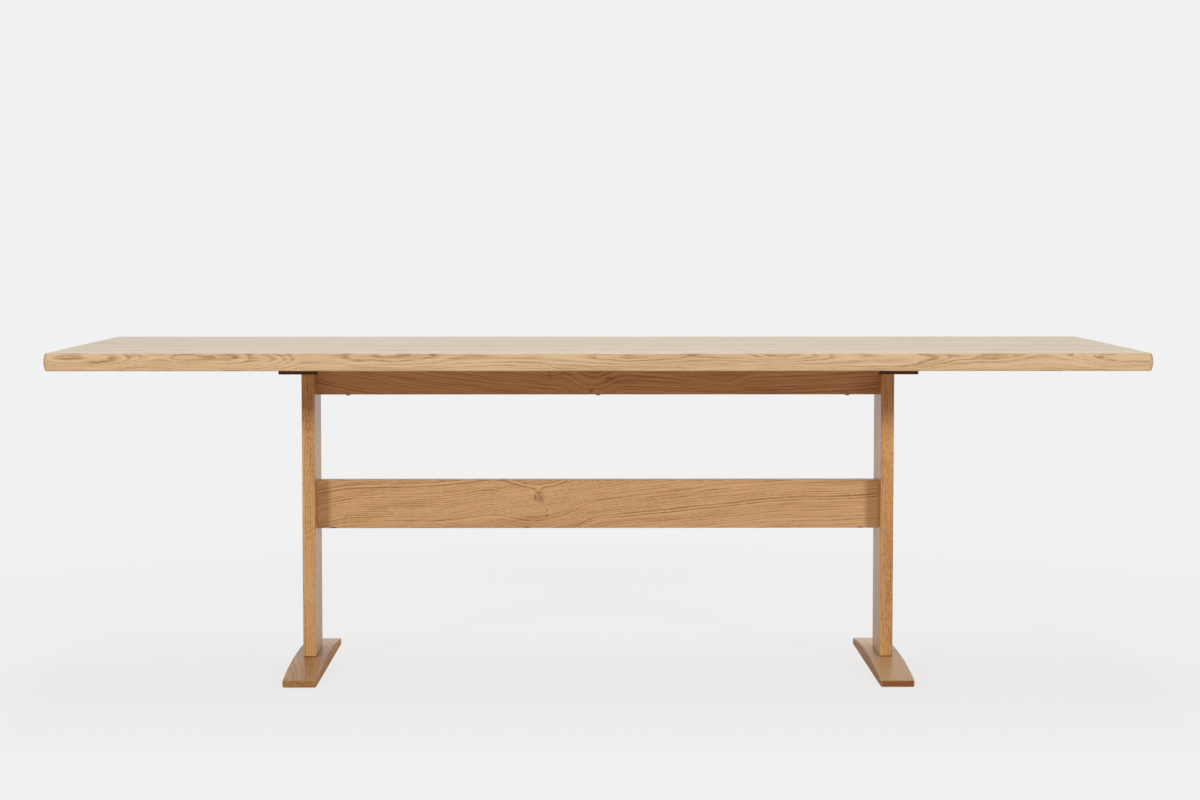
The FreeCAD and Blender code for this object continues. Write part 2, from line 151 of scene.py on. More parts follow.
def trunkSpace(put, place, cut):
    # A point's place in the board's own trunk, in millimetres: x runs along the trunk, y and z away from
    # the pith, which leans in proportion to x and sweeps with its square. Each seed has its own noise.
    pith = tuple(v / 1000 for v in cut["pith"])
    turn = tuple(math.radians(v) for v in turnTo[cut["grain"]])
    trunk = put("Mapping", {"Vector": place, "Location": pith, "Rotation": turn,
                            "Scale": (0.001, 0.001, 0.001)}, vector_type="TEXTURE")[0]
    along = put("SeparateXYZ", {0: trunk})[0]
    squared = put("Math", {0: along, 1: along}, operation="MULTIPLY")[0]
    lean, sweep = cut["lean"], cut["sweep"]                 # mm per metre, mm per square metre
    leant = put("VectorMath", {0: along, 1: (0, -lean[0] / 1e3, -lean[1] / 1e3), 2: trunk},
                operation="MULTIPLY_ADD")[0]
    swept = put("VectorMath", {0: squared, 1: (0, -sweep[0] / 1e6, -sweep[1] / 1e6), 2: leant},
                operation="MULTIPLY_ADD")[0]
    own = put("VectorMath", {0: swept, 1: (cut["seed"] * cut["seedSteps"][0], 0, 0)},
              operation="ADD")[0]
    return along, swept, own


def streaks(put, own, size, detail):
    # noise whose patches are drawn out along the trunk; the size is their length and width
    length, width = size
    place = put("VectorMath", {0: own, 1: (1 / length, 1 / width, 1 / width)}, operation="MULTIPLY")[0]
    return put("TexNoise", {"Vector": place, "Scale": 1.0, "Detail": detail})


def swell(put, own, size, detail, amount, carrier):
    # moves the carrier to and fro across the trunk by noise, by up to half the amount
    noise = streaks(put, own, size, detail)[1]
    even = put("VectorMath", {0: noise, 1: (0.5, 0.5, 0.5)}, operation="SUBTRACT")[0]
    return put("VectorMath", {0: even, 1: (0, amount, amount), 2: carrier}, operation="MULTIPLY_ADD")[0]


def reachOf(put, place, spot, size):
    # 0 in the middle of a spot, 1 at the rim of its ellipse; a size of 0 leaves that axis out
    offset = put("VectorMath", {0: place, 1: tuple(v / 1000 for v in spot)}, operation="SUBTRACT")[0]
    scaled = put("VectorMath", {0: offset, 1: tuple(0 if v == 0 else 1000 / v for v in size)},
                 operation="MULTIPLY")[0]
    return put("VectorMath", {0: scaled}, operation="LENGTH")[1]


def pithDistance(put, place, rippled, cut):
    # the length of the part across the trunk; each knot pushes the rings round it aside
    across = put("VectorMath", {0: rippled, 1: (0, 1, 1)}, operation="MULTIPLY")[0]
    radius = put("VectorMath", {0: across}, operation="LENGTH")[1]
    for spot, size, lift in cut["knots"]:
        push = put("MapRange", {0: reachOf(put, place, spot, size), 1: 0.0, 2: 1.0, 3: lift, 4: 0.0},
                   interpolation_type="SMOOTHERSTEP")[0]
        radius = put("Math", {0: radius, 1: push}, operation="ADD")[0]
    return radius


def yearRings(put, radius, cut):
    # The radius over the ring's width counts the years, and slow noise makes them uneven. What is left
    # after the whole years is the season: porous dark earlywood first, dense pale latewood last. Some
    # years are stronger than others.
    rateStep, yearStep = cut["seed"] * cut["seedSteps"][1], cut["seed"] * cut["seedSteps"][2]
    years = put("Math", {0: radius, 1: cut["ringWidth"]}, operation="DIVIDE")[0]
    slow = put("Math", {0: years, 1: cut["unevenRate"], 2: rateStep}, operation="MULTIPLY_ADD")[0]
    uneven = put("TexNoise", {"W": slow, "Scale": 1.0, "Detail": 1.0}, noise_dimensions="1D")[0]
    years = put("Math", {0: uneven, 1: cut["unevenYears"], 2: years}, operation="MULTIPLY_ADD")[0]
    season = put("Math", {0: years}, operation="FRACT")[0]
    year = put("Math", {0: years}, operation="FLOOR")[0]
    vigour = put("TexWhiteNoise", {"W": put("Math", {0: year, 1: yearStep}, operation="ADD")[0]},
                 noise_dimensions="1D")
    chance = put("SeparateXYZ", {0: vigour[1]})
    band = cut["band"]
    earlywood = put("ValToRGB", {0: season}, stops=[(0.0, 0.1), (band * 0.3, 1.0), (band * 0.8, 0.7),
                                                    (band * 1.3, 0.2), (0.8, 0.02), (1.0, 0.1)])[0]
    strength = put("MapRange", {0: vigour[0], 3: 0.5, 4: 1.1})[0]
    line = put("Math", {0: earlywood, 1: strength}, operation="MULTIPLY")[0]
    latewood = put("ValToRGB", {0: season}, stops=[(0.45, 0.0), (0.8, 1.0), (0.95, 0.0)])[0]
    gleam = put("MapRange", {0: chance[1], 1: 0.35, 2: 1.0})[0]
    pale = put("Math", {0: latewood, 1: gleam}, operation="MULTIPLY")[0]
    return line, pale


def rayFlecks(put, along, radius, rippled, cut):
    # Rays run from the pith outwards, so their noise is stretched along the trunk and along the radius,
    # and fine along the arc, which is the angle round the pith times a fixed radius.
    parts = put("SeparateXYZ", {0: rippled})
    angle = put("Math", {0: parts[2], 1: parts[1]}, operation="ARCTAN2")[0]
    arc = put("Math", {0: angle, 1: cut["rayRadius"]}, operation="MULTIPLY")[0]
    length, height = cut["raySize"]
    place = put("CombineXYZ", {0: put("Math", {0: along, 1: 1 / length}, operation="MULTIPLY")[0],
                               1: put("Math", {0: radius, 1: 1 / height}, operation="MULTIPLY")[0],
                               2: arc})[0]
    noise = put("TexNoise", {"Vector": place, "Scale": 1.0, "Detail": 1.0})[0]
    return put("MapRange", {0: noise, 1: 0.58, 2: 0.68})[0]


def darkMarks(put, place, cut):
    # the darkest of all marks at this point, painted shade lines among them; each is full in its middle and
    # fades out at its rim
    marks = None
    for spot, size, dark in cut["marks"]:
        mark = put("MapRange", {0: reachOf(put, place, spot, size), 1: 0.35, 2: 1.0, 3: dark, 4: 0.0},
                   interpolation_type="SMOOTHSTEP")[0]
        marks = mark if marks is None else put("Math", {0: marks, 1: mark}, operation="MAXIMUM")[0]
    return marks


def facing(put, normal, axis):
    # 1 on the faces that look along an axis, 0 on the others
    turned = put("VectorMath", {0: normal, 1: [float(letter == axis) for letter in "XYZ"]},
                 operation="DOT_PRODUCT")[1]
    return put("MapRange", {0: put("Math", {0: turned}, operation="ABSOLUTE")[0], 1: 0.6, 2: 0.95})[0]


def oakMaterial(name, board):
    # European oak, planed, sanded and oiled: a satin surface, warm where the oil darkens it, with the
    # year rings as open-pored brown lines and paler latewood between them.
    # Each board is cut from its own trunk. A point's distance from the pith, wavy and swept along the
    # trunk, gives its year ring, so the figure runs round the corners of a board on to its end grain.
    cut = oak | board
    material, tree = newMaterial(name)

    def put(kind, inputs=None, **settings):
        return addNode(tree, kind, inputs, **settings)

    surface = put("TexCoord")
    place = surface["Object"]
    along, swept, own = trunkSpace(put, place, cut)
    waved = swell(put, own, cut["waveSize"], 1.0, 2 * cut["wave"], swept)
    rippled = swell(put, own, cut["rippleSize"], 2.0, cut["ripple"], waved)
    radius = pithDistance(put, place, rippled, cut)
    line, pale = yearRings(put, radius, cut)

    # fibres break up the dark lines, and the pores lie mostly in them
    fibre = streaks(put, own, cut["fibreSize"], 3.0)[0]
    fray = cut["fray"]
    broken = put("MapRange", {0: fibre, 1: 0.3, 2: 0.7, 3: 1 - fray, 4: 1 + 0.67 * fray})[0]
    line = put("Math", {0: line, 1: broken}, operation="MULTIPLY")[0]
    pores = put("MapRange", {0: streaks(put, own, cut["poreSize"], 1.0)[0], 1: 0.56, 2: 0.68})[0]
    inLine = put("MapRange", {0: line, 1: 0.1, 2: 0.7, 3: 0.15, 4: 1.0})[0]
    pores = put("Math", {0: pores, 1: inLine}, operation="MULTIPLY")[0]
    rays = rayFlecks(put, along, radius, rippled, cut)
    drift = streaks(put, own, cut["driftSize"], 2.0)[0]
    speckle = streaks(put, own, cut["speckleSize"], 1.0)[0]

    # every layer adds to the tone, by its weight times how far it is from its middle
    layers = ((line, cut["ringContrast"] * cut["contrast"], 0.0),
              (pale, -cut["paleness"] * cut["contrast"], 0.0),
              (fibre, 1.0, 0.5), (drift, cut["drift"], 0.5), (speckle, cut["speckle"], 0.5))
    tone = cut["ground"] + cut["tone"]
    for layer, weight, middle in layers:
        even = put("Math", {0: layer, 1: middle}, operation="SUBTRACT")[0]
        tone = put("Math", {0: even, 1: weight, 2: tone}, operation="MULTIPLY_ADD")[0]
    light, between, dark = (linear(shade) for shade in woods[cut["wood"]])
    colour = put("ValToRGB", {0: tone}, stops=[(0.0, light), (0.45, between), (1.0, dark)])[0]
    if "stain" in cut:
        colour = put("Mix", {0: 1.0, 6: colour, 7: linear(cut["stain"])}, data_type="RGBA",
                     blend_type="MULTIPLY")[2]
    for flecks, amount, shade in ((pores, cut["pores"], cut["pore"]), (rays, cut["rays"], cut["ray"])):
        share = put("Math", {0: flecks, 1: amount}, operation="MULTIPLY")[0]
        colour = put("Mix", {0: share, 6: colour, 7: linear(shade)}, data_type="RGBA")[2]
    # dark marks in the knot's colour: knots, specks, and painted shade lines
    if cut["marks"]:
        colour = put("Mix", {0: darkMarks(put, place, cut), 6: colour, 7: linear(cut["knot"])},
                     data_type="RGBA")[2]

    # end grain is darker and duller and has no film, because it soaks the oil up; on some boards the faces
    # that look along X have a tint, a film and a roughness of their own, and on the feet that tint is
    # painted
    # shade: darker sides, where less light reaches them near the floor
    end = facing(put, surface["Normal"], cut["grain"])
    colour = put("Mix", {0: end, 6: colour, 7: linear(cut["ends"])}, data_type="RGBA",
                 blend_type="MULTIPLY")[2]
    satin = put("MapRange", {0: end, 3: cut["roughness"], 4: cut["endRoughness"]})[0]
    film = cut["film"]
    if "sides" in cut:
        side = facing(put, surface["Normal"], "X")
        colour = put("Mix", {0: side, 6: colour, 7: linear(cut["sides"])}, data_type="RGBA",
                     blend_type="MULTIPLY")[2]
        film = put("MapRange", {0: side, 3: film, 4: cut.get("sideFilm", film)})[0]
        satin = put("MapRange", {0: side, 3: satin, 4: cut.get("sideRoughness", cut["roughness"])})[0]
    film = put("MapRange", {0: end, 3: film, 4: 0.0})[0]

    roughness = put("Math", {0: pores, 1: cut["poreRoughness"], 2: satin}, operation="MULTIPLY_ADD")[0]
    depth = put("Math", {0: line, 1: 0.35, 2: pores}, operation="MULTIPLY_ADD")[0]
    relief = put("Bump", {"Height": depth, "Strength": 0.35, "Distance": cut["relief"]}, invert=True)[0]
    shader = put("BsdfPrincipled", {"Base Color": colour, "Roughness": roughness, "Normal": relief,
                                    "IOR": cut["ior"], "Specular IOR Level": cut["specular"],
                                    "Coat Weight": film, "Coat Roughness": cut["filmRoughness"],
                                    "Coat IOR": cut["ior"]})[0]
    put("OutputMaterial", {"Surface": shader})
    return material


# Each board: the axis its grain follows, a point of its trunk's pith (mm, in the table's frame), how the
# pith leans and sweeps against the two axes across the grain, and how wavy the trunk is. A knot is a spot,
# its size and how far it moves the rings there; with a size along X only, it bends the whole figure. A mark
# is a spot, its size and how dark it is; some marks are painted shade. Stain, ends and sides are tints: on
# the whole board, on its end grain, on its faces that look along X; on the feet the sides' tint is also
# painted shade.
stave = {"wood": "top", "film": 0.3, "grain": "X", "wave": 7, "waveSize": (420.0, 160.0), "contrast": 0.6}
rail = {"wood": "golden", "grain": "X", "pores": 0.25, "tone": -0.03}
leg = {"wood": "golden", "grain": "Z", "wave": 9, "contrast": 0.7, "fray": 0.3, "pores": 0.28,
       "speckle": 1.5, "tone": 0.08, "rays": 0.45, "sides": "#EEF0E4",
       "marks": [((0, 0, 33), (0, 0, 3.2), 0.85)]}          # painted shade: the shadow line round the leg's bottom, where it sits on the foot
foot = {"grain": "Y", "sweep": (0, 0), "wave": 8, "sideFilm": 0.0}
bearer = {"wood": "frame", "grain": "Y", "sweep": (0, 0), "wave": 8, "film": 0.0, "ends": "#6C4221"}

boards = {
    "top_stave_1": stave | {
        "wood": "edge", "pith": (0, -424, 742), "lean": (3, 2), "sweep": (0, 0), "wave": 11, "ripple": 2.4,
        "seed": 1.0, "pores": 0.35, "ringWidth": 1.6, "band": 0.4, "tone": -0.06, "contrast": 0.8,
        "knots": [((-1120, 0, 0), (210, 0, 0), -6), ((-850, 0, 0), (160, 0, 0), -4),
                  ((-750, 0, 0), (150, 0, 0), -4)]},        # long closed flames near the left end
    "top_stave_2": stave | {"pith": (0, -306, 640), "lean": (4, -26), "sweep": (0, 4), "seed": 2.0,
                            "tone": 0.04},
    "top_stave_3": stave | {"pith": (0, -200, 676), "lean": (-5, 24), "sweep": (0, -6), "seed": 3.0,
                            "tone": -0.05},
    "top_stave_4": stave | {"pith": (0, -60, 600), "lean": (7, 8), "sweep": (0, 3), "seed": 4.0,
                            "tone": 0.07},
    "top_stave_5": stave | {"pith": (0, 6, 690), "lean": (-6, -30), "sweep": (0, 5), "seed": 5.0},
    "top_stave_6": stave | {"pith": (0, 92, 640), "lean": (3, 22), "sweep": (0, -5), "seed": 6.0,
                            "tone": -0.07},
    "top_stave_7": stave | {"pith": (0, 300, 610), "lean": (-6, -9), "sweep": (0, 4), "seed": 7.0,
                            "tone": 0.06},
    "top_stave_8": stave | {"pith": (0, 290, 668), "lean": (5, 28), "sweep": (0, -4), "seed": 8.0,
                            "tone": -0.03},
    "top_stave_9": stave | {"pith": (0, 392, 704), "lean": (-3, -20), "sweep": (0, 3), "seed": 9.0,
                            "tone": 0.03, "wave": 9, "waveSize": (380.0, 160.0), "contrast": 0.65},
    "upper_rail": rail | {
        "stain": "#FFF4EC", "pith": (0, 40, 870), "lean": (0, -52), "sweep": (0, 100), "wave": 9,
        "waveSize": (300.0, 160.0), "ripple": 5.0, "seed": 10.0, "ringWidth": 5.6, "band": 0.5,
        "fray": 0.4, "paleness": 0.6, "speckle": 0.6, "rays": 0.0,
        # swirls round four knots that lie deeper in the board
        "knots": [((-14, -20, 650), (95, 0, 75), -22), ((290, -20, 704), (95, 0, 76), -44),
                  ((215, -20, 694), (60, 0, 44), -14), ((-112, -20, 696), (40, 0, 36), -12)],
        # three faint spots, and painted shade: a dark band along the rail's top edge, where the table top
        # shades it
        "marks": [((25, -20, 677), (15, 0, 5), 0.4), ((-17, -20, 647), (8, 0, 7), 0.45),
                  ((-112, -20, 685), (5, 0, 10), 0.35), ((0, 0, 717), (0, 0, 5), 0.7)]},
    "stretcher": rail | {
        "film": 0.1, "pith": (0, 29, 200), "lean": (0, 120), "sweep": (0, -62), "wave": 10, "ripple": 2.4,
        "seed": 11.0, "ringWidth": 4.2, "band": 0.42, "contrast": 0.95, "fray": 0.25, "paleness": 0.85,
        # a hump of the figure near the left leg, a dip round the small knot, and the knot's own swirl
        "knots": [((-650, 0, 0), (380, 0, 0), -34), ((-125, 0, 0), (150, 0, 0), 32),
                  ((-137, -20, 398), (30, 0, 36), 14)],
        # the knot's shade and its four strokes, two specks below it, three on the lower edge
        "marks": [((-137, -20, 398), (20, 0, 17), 0.28), ((-146, -20, 399), (3.6, 0, 10), 0.6),
                  ((-139, -20, 402), (2.4, 0, 10), 0.5), ((-133, -20, 396), (3.2, 0, 11), 0.62),
                  ((-127, -20, 390), (2.4, 0, 5), 0.5), ((-118, -20, 369), (2.4, 0, 2.4), 0.95),
                  ((-118, -20, 357), (3.0, 0, 3.0), 0.95), ((-166, -20, 327), (11, 0, 3.4), 0.95),
                  ((-617, -20, 327), (10, 0, 4.6), 0.95), ((612, -20, 327), (10, 0, 4.6), 0.95)]},
    "left_leg": leg | {"stain": "#FFF6E4", "pith": (-699, -49, 370), "lean": (6, 10), "sweep": (0, 4),
                       "seed": 12.0},
    "right_leg": leg | {"stain": "#FFF0D8", "sideFilm": 0.15, "pith": (646, -61, 370), "lean": (-6, 8),
                        "sweep": (0, -4), "seed": 13.0},
    "left_foot": foot | {
        "wood": "frame", "stain": "#FFF6E0", "pith": (-720, 0, -50), "lean": (14, 12), "seed": 14.0,
        "ringWidth": 4.4, "ripple": 3.0, "contrast": 0.62, "band": 0.45, "fray": 0.6, "speckle": 1.2,
        # its sides' tint is painted shade: the faces that look along X a little darker
        "pores": 0.35, "film": 0.06, "ends": "#E0D8D8", "sides": "#F8F5EC", "sideRoughness": 0.54},
    "right_foot": foot | {
        "wood": "pale", "stain": "#FFF9F1", "pith": (790, 0, -60), "lean": (-6, -12), "seed": 15.0,
        "ringWidth": 3.4, "ripple": 1.5, "contrast": 0.8, "speckle": 1.1, "tone": -0.24, "film": 0.08,
        # its sides' tint is painted shade: the faces that look along X darker, where less light reaches
        # them near the floor
        "ends": "#AC8875", "sides": "#D0BEAD", "sideRoughness": 0.52},
    "left_bearer": bearer | {"pith": (-648, 0, 652), "lean": (10, 8), "seed": 16.0},
    "right_bearer": bearer | {"pith": (672, 0, 656), "lean": (-8, 8), "seed": 17.0},
}

for boardName, board in boards.items():
    dress(boardName, oakMaterial("oiled_oak_" + boardName, board))
print("stage 2: oak boards dressed")


# screws, bolts, inserts, dowels and glides: turned pieces, in millimetres until they are placed
fittings = {
    "sides": 24,
    "glideSides": 48,            # the glides are wider
    "socketFlats": 4.0,          # across the flats of the hexagon sockets
    "socketDepth": 1.6,
    "boltRadius": 3.0,
    "boltPitch": 1.0,
    "boltThreadDepth": 0.6,
    "boltThreadLength": 24.0,    # the rest of a long bolt's shank is plain
    "stretcherBoltLength": 73.0,
    "stretcherBoltRise": 37.0,   # above the stretcher's underside
    "insertLength": 13.0,
    "insertRadius": 5.0,
    "insertThreadDepth": 0.9,
    "insertPitch": 2.5,
    "counterbore": 7.0,          # how deep the bearers' bolts sit
    "railBolts": (-582, 0, 582),
    "bearerBolts": (-200, -100, 100, 200),
    "longScrew": (2.5, 4.75, 60.0),    # radius, radius of the head, length
    "railScrew": (2.5, 4.75, 35.0),
    "glideScrew": (1.75, 3.5, 12.0),
    "legScrews": (-50, 0, 50),
    "footScrews": (-42.5, 42.5),
    "screwRecess": 0.42,         # radius of the star recess, as a share of the head's
    "screwCore": 0.66,           # radius of the core, as a share of the thread's
    "screwPitch": 0.52,          # as a share of the screw's diameter
    "screwNeck": 0.3,            # the share of its length that has no thread
    "screwTip": 2.4,             # length of its point, in radii
    "dowelRadius": 4.0,
    "dowelInLeg": 18.0,
    "dowelInRail": 22.0,
    "dowelMargin": 15.0,         # from the stretcher's upper and lower edge
    "railDowels": (-10, 10),
    "fluteDepth": 0.05,          # share of a dowel's radius
    "fluteCount": 24,
    "glideFromEnd": 40.0,        # from the end of the foot to the middle of the glide
    "glideScrewDepth": 1.0,      # above the glide's running face
    "ringsPerTurn": 5,           # how finely a thread is drawn
    "sharpAngle": 35,            # degrees; edges that turn by more stay sharp
}


def turnedPoints(rings, sides, lobes=6):
    # Each ring holds a radius, a height, how far it is a hexagon, how far it is a star, and a thread's
    # depth and pitch. At angle a the radius is multiplied by 1 / cos(a turned back to the nearest flat)
    # for a hexagon and by 1 + share * cos(lobes * a) for a star. A thread then takes off its depth times
    # a triangle wave of height / pitch - a / full turn, which winds it round as a helix.
    radius, height, hexagon, star, depth, pitch = np.array(rings, dtype=float).T[:, :, None]
    angle = 2 * np.pi * np.arange(sides)[None] / sides
    flat = 1 / np.cos(angle % (np.pi / 3) - np.pi / 6) - 1
    wave = np.abs(2 * ((height / pitch - angle / (2 * np.pi)) % 1.0) - 1)
    around = radius * (1 + hexagon * flat + star * np.cos(lobes * angle)) - depth * wave
    return np.stack([around * np.cos(angle), around * np.sin(angle), height + 0 * angle], axis=-1)


def turnedFaces(ringCount, sides, closed):
    # quads between neighbouring rings; an open profile is closed by a fan at either end, and a closed
    # one joins its last ring to its first
    rows = np.arange(ringCount if closed else ringCount - 1)[:, None]
    columns = np.arange(sides)[None]
    above, beside = (rows + 1) % ringCount, (columns + 1) % sides
    quads = np.stack([rows * sides + columns, rows * sides + beside, above * sides + beside,
                      above * sides + columns], axis=-1).reshape(-1, 4)
    if closed:
        return quads.tolist()
    ring, following = columns[0], (columns[0] + 1) % sides
    first, last = ringCount * sides, (ringCount - 1) * sides
    start = np.stack([np.full(sides, first), following, ring], axis=-1)
    end = np.stack([np.full(sides, first + 1), last + ring, last + following], axis=-1)
    return quads.tolist() + start.tolist() + end.tolist()


def turnedPiece(nodeName, patterns, material, sides=None, closed=False, lobes=6):
    # one mesh for all the pieces of a node; a pattern is a profile's rings with the places where it
    # stands, and a place is a point (mm) and the way that its height runs
    sides = sides or fittings["sides"]
    name = nodeName + "_turned"
    allPoints, allFaces, count = [], [], 0
    for rings, places in patterns:
        points = turnedPoints(rings, sides, lobes).reshape(-1, 3)
        if not closed:
            points = np.vstack([points, [[0, 0, rings[0][1]], [0, 0, rings[-1][1]]]])
        faces = turnedFaces(len(rings), sides, closed)
        for place, way in places:
            way = np.array(way, dtype=float)
            across = np.array((0.0, 1.0, 0.0))
            turn = np.array([across, np.cross(way, across), way])
            allFaces += [[corner + count for corner in face] for face in faces]
            allPoints.append((points @ turn + np.array(place)) / 1000)
            count += len(points)
    mesh = bpy.data.meshes.new(name)
    mesh.from_pydata(np.vstack(allPoints).tolist(), [], allFaces)
    mesh.polygons.foreach_set("use_smooth", np.ones(len(mesh.polygons), dtype=bool))
    mesh.set_sharp_from_angle(angle=math.radians(fittings["sharpAngle"]))
    mesh.materials.append(material)
    mesh.update()
    piece = bpy.data.objects.new(name, mesh)
    scene.collection.objects.link(piece)
    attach(piece, "root")
    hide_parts(nodeName)


def ring(radius, height, hexagon=0.0, star=0.0, depth=0.0, pitch=1.0):
    # one ring of a profile, round and without a thread unless it says otherwise
    return (radius, height, hexagon, star, depth, pitch)


def threadRings(radius, depth, pitch, start, end, tip=0.0):
    # rings for a thread that runs in over its first turn; with a tip it narrows to a point at the end
    heights = np.arange(start, end, pitch / fittings["ringsPerTurn"])
    runIn = np.clip((heights - start) / pitch, 0, 1)
    narrow = np.clip((end - heights) / tip, 0.04, 1) if tip else np.ones_like(heights)
    return [ring(radius * n - (1 - i) * depth * n, h, depth=depth * i * n, pitch=pitch)
            for h, i, n in zip(heights, runIn, narrow)]


def boltThread(length):
    # the end part of an M6 bolt: thread, then a small chamfer
    radius, depth = fittings["boltRadius"], fittings["boltThreadDepth"]
    start = max(0.5, length - fittings["boltThreadLength"])
    return (threadRings(radius, depth, fittings["boltPitch"], start, length - 0.7)
            + [ring(radius - depth, length - 0.6), ring(radius - depth - 0.3, length)])


def socketRings(face):
    # from the bottom of the hexagon socket up to its bevelled mouth in the head's face
    flats = fittings["socketFlats"] / 2
    bottom = face + fittings["socketDepth"]
    return [ring(flats, bottom, hexagon=1.0), ring(flats, face + 0.2, hexagon=1.0),
            ring(flats + 0.45, face, hexagon=0.4)]


def buttonBolt(grip):
    # a button head with a flange, then the shank through the wood and on through its insert
    radius = fittings["boltRadius"]
    return (socketRings(-3.0)
            + [ring(3.5, -3.0), ring(4.2, -2.78), ring(4.75, -2.35), ring(5.1, -1.75), ring(5.25, -1.0),
               ring(6.5, -1.0), ring(6.75, -0.8), ring(6.75, -0.15), ring(6.6, 0.0), ring(radius, 0.0),
               ring(radius, 0.4)]
            + boltThread(grip + fittings["insertLength"]))


def flatBolt(length):
    # a wide flat head, flush with the wood round it
    radius = fittings["boltRadius"]
    return (socketRings(0.0)
            + [ring(3.2, 0.0), ring(8.1, 0.0), ring(8.5, 0.35), ring(8.5, 2.0), ring(radius, 2.0),
               ring(radius, 2.4)]
            + boltThread(length))


def woodScrew(radius, headRadius, length):
    # a countersunk head with a star recess, a plain neck, a coarse thread and a point
    recess, core = fittings["screwRecess"] * headRadius, fittings["screwCore"] * radius
    pitch = fittings["screwPitch"] * 2 * radius
    sink = headRadius - radius
    neck = length * fittings["screwNeck"]
    return ([ring(recess * 0.75, sink * 0.8, star=0.12), ring(recess, 0.1, star=0.14),
             ring(recess * 1.15, 0.0, star=0.1), ring(headRadius - 0.15, 0.0), ring(headRadius, 0.15),
             ring(headRadius, 0.3), ring(radius, sink), ring(core + 0.15, sink + 0.8),
             ring(core + 0.15, neck - 0.2)]
            + threadRings(radius, radius - core, pitch, neck, length - 0.1,
                          tip=fittings["screwTip"] * radius)
            + [ring(0.05, length)])


def threadedInsert(length):
    # a closed profile: the coarse outer thread upwards, then the fine inner thread downwards
    inner = fittings["boltRadius"] + 0.05
    depth, pitch = fittings["boltThreadDepth"], fittings["boltPitch"]
    outer, outerDepth = fittings["insertRadius"], fittings["insertThreadDepth"]
    outside = threadRings(outer, outerDepth, fittings["insertPitch"], 0.3, length - 0.3)
    inside = threadRings(inner, -depth, pitch, 0.4, length - 0.4)
    return ([ring(inner + depth, 0.0), ring(outer - outerDepth, 0.0)] + outside
            + [ring(outer - outerDepth, length), ring(inner + depth, length)] + inside[::-1])


def flutedDowel(before, after):
    # a dowel with chamfered ends and flutes that let air and glue out
    flute = fittings["fluteDepth"]
    radius = fittings["dowelRadius"] * (1 - flute)
    return [ring(2.9, -before), ring(3.1, -before + 0.1), ring(radius, -before + 1.0, star=flute),
            ring(radius, 0.0, star=flute), ring(radius, after - 1.0, star=flute),
            ring(3.1, after - 0.1), ring(2.9, after)]


def glideDisc():
    # a closed profile: running face, rounded rim, side and back, then the sunk screw hole
    return [ring(3.6, 0.25), ring(3.85, 0.0), ring(12.9, 0.0), ring(13.4, 0.12), ring(13.8, 0.45),
            ring(14.0, 1.0), ring(14.0, 4.8), ring(13.8, 5.0), ring(1.85, 5.0), ring(1.85, 2.75),
            ring(3.6, 1.0)]


def metal(name, shade, darker, roughness, grain):
    # the fine crystal of the metal, its grain in mm, shows as a faint change of shade and of gloss
    material, tree = newMaterial(name)
    place = addNode(tree, "TexCoord")["Object"]
    crystal = addNode(tree, "TexNoise", {"Vector": place, "Scale": 1000 / grain, "Detail": 3.0})[0]
    share = addNode(tree, "MapRange", {0: crystal, 1: 0.35, 2: 0.65})[0]
    colour = addNode(tree, "Mix", {0: share, 6: linear(shade), 7: linear(darker)}, data_type="RGBA")[2]
    gloss = addNode(tree, "MapRange", {0: crystal, 1: 0.3, 2: 0.7, 3: roughness - 0.06,
                                       4: roughness + 0.08})[0]
    shader = addNode(tree, "BsdfPrincipled", {"Base Color": colour, "Metallic": 1.0,
                                              "Roughness": gloss})[0]
    addNode(tree, "OutputMaterial", {"Surface": shader})
    return material


def glideNylon():
    # injection-moulded nylon, off-white, with the fine matt grain that the mould leaves
    material, tree = newMaterial("moulded_nylon")
    place = addNode(tree, "TexCoord")["Object"]
    cloud = addNode(tree, "TexNoise", {"Vector": place, "Scale": 90.0, "Detail": 2.0})[0]    # 11 mm patches
    colour = addNode(tree, "Mix", {0: cloud, 6: linear("#D9D5CB"), 7: linear("#C9C4B8")},
                     data_type="RGBA")[2]
    grain = addNode(tree, "TexNoise", {"Vector": place, "Scale": 1000 / 0.4, "Detail": 2.0})[0]
    relief = addNode(tree, "Bump", {"Height": grain, "Strength": 0.3, "Distance": 0.0001})[0]
    shader = addNode(tree, "BsdfPrincipled", {"Base Color": colour, "Roughness": 0.5, "IOR": 1.53,
                                              "Normal": relief})[0]
    addNode(tree, "OutputMaterial", {"Surface": shader})
    return material


def dowelBeech():
    # turned beech: pinkish and even, with short dark flecks along the grain, which lies along X
    length, width = 4.0, 0.625      # mm, the size of a fleck
    material, tree = newMaterial("turned_beech")
    place = addNode(tree, "Mapping", {"Vector": addNode(tree, "TexCoord")["Object"],
                                      "Scale": (1000 / length, 1000 / width, 1000 / width)})[0]
    noise = addNode(tree, "TexNoise", {"Vector": place, "Scale": 1.0, "Detail": 2.0})[0]
    fleck = addNode(tree, "MapRange", {0: noise, 1: 0.55, 2: 0.7})[0]
    colour = addNode(tree, "Mix", {0: fleck, 6: linear("#D8B48C"), 7: linear("#A87A50")},
                     data_type="RGBA")[2]
    relief = addNode(tree, "Bump", {"Height": fleck, "Strength": 0.3, "Distance": 0.0001},
                     invert=True)[0]
    shader = addNode(tree, "BsdfPrincipled", {"Base Color": colour, "Roughness": 0.6, "IOR": 1.5,
                                              "Normal": relief})[0]
    addNode(tree, "OutputMaterial", {"Surface": shader})
    return material


